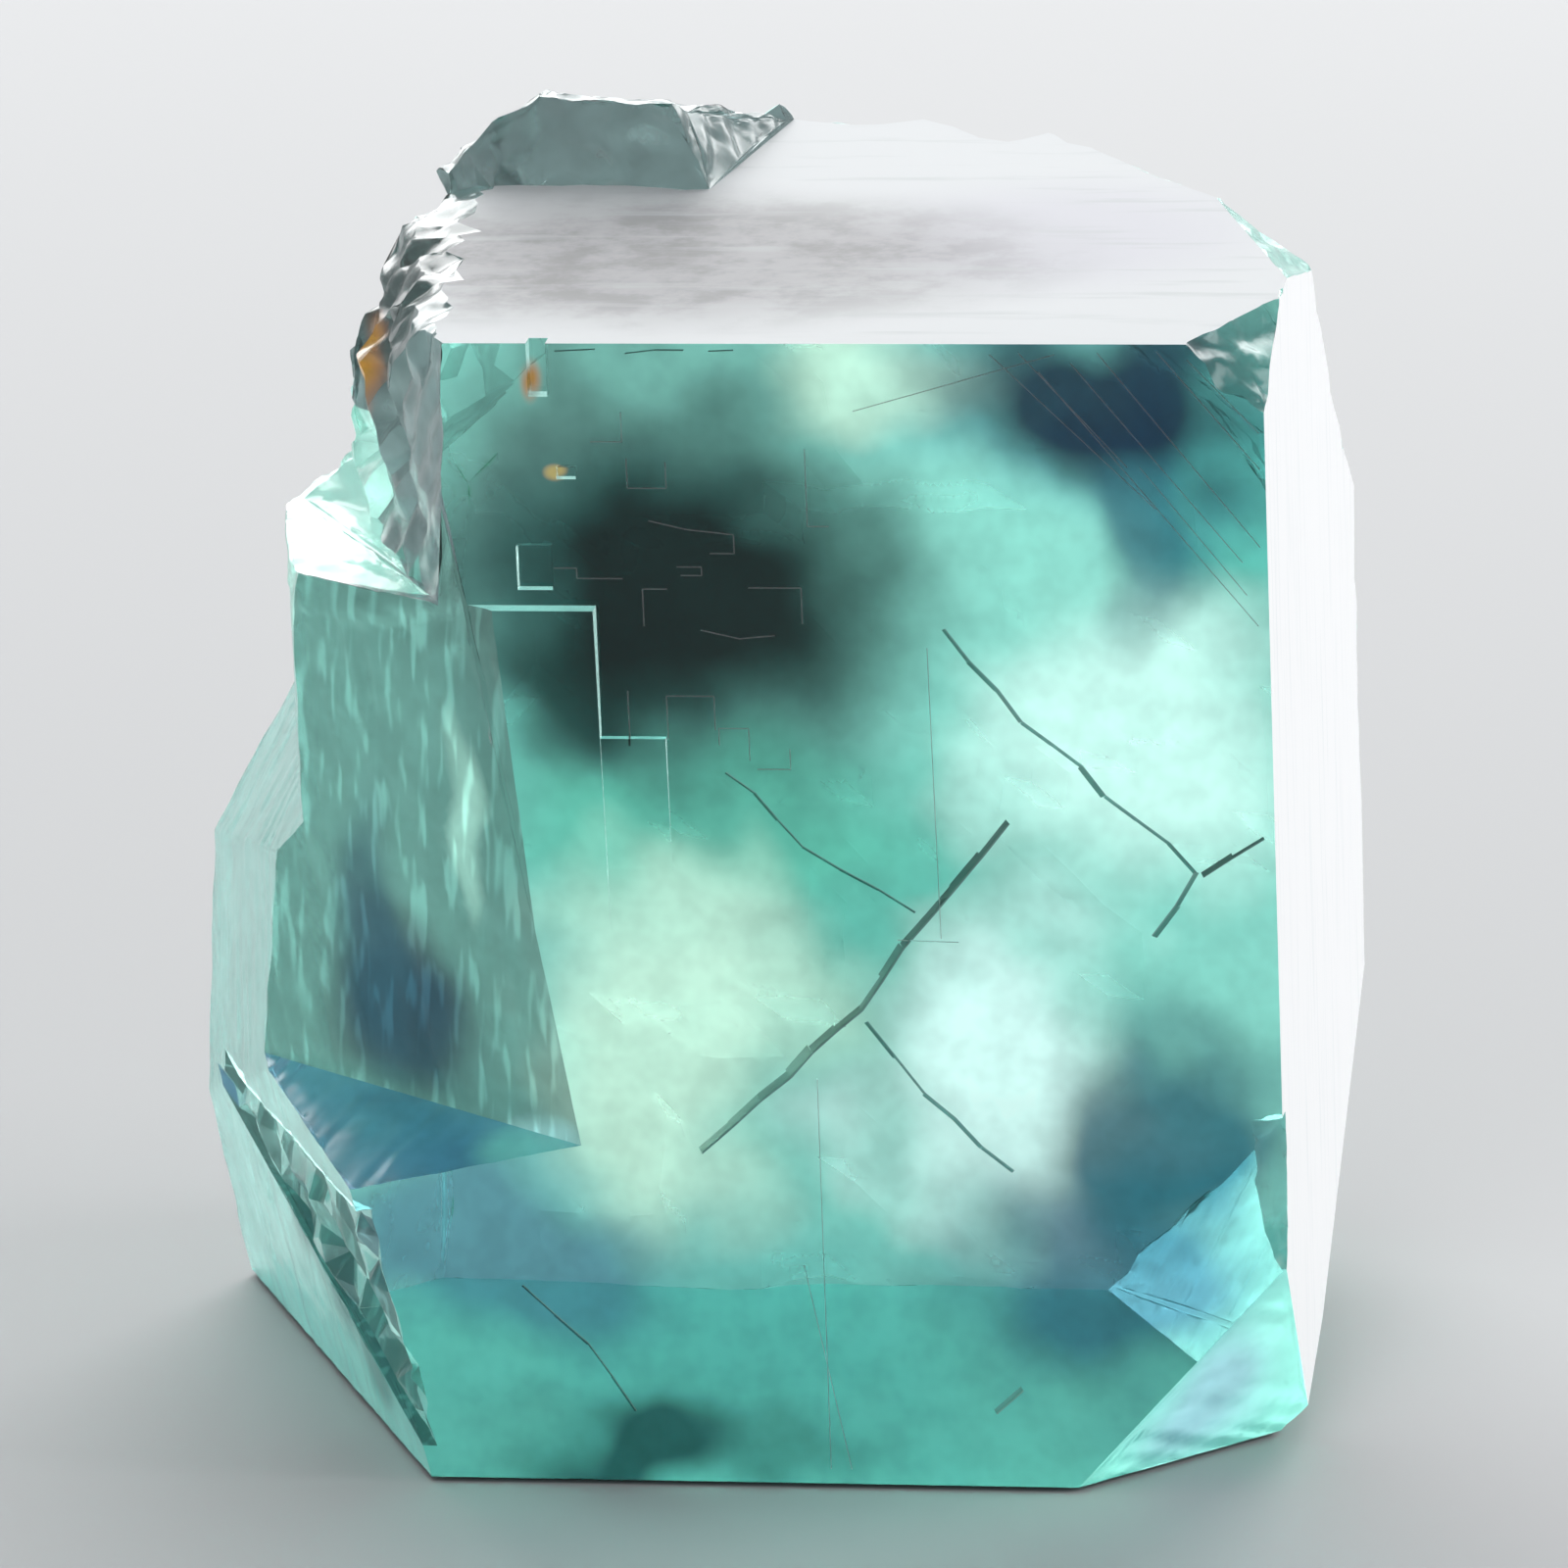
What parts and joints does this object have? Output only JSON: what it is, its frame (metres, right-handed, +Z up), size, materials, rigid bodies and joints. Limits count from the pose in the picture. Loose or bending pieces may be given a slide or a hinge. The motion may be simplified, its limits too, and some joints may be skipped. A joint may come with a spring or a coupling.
{
  "type": "fluorite cube",
  "caption": "Cleaved cube of blue-green fluorite with flat growth faces, a broken side, a stepped shoulder and a rough back, resting on its flat underside.",
  "frame": {"origin": "middle of the crystal's bounding box, on the surface that it stands on", "axes": "+Z up along a cube edge, +X to the right cube face, -Y to the front cube face"},
  "size_m": [0.0684, 0.0518, 0.0728],
  "materials": {
    "fluorite": "see-through blue-green crystal: polished growth faces in front, satin cleavage on top and at the right, rough breaks at the left and back"
  },
  "bodies": {
    "root": {"fluorite_crystal": "fluorite"}
  },
  "joints": []
}
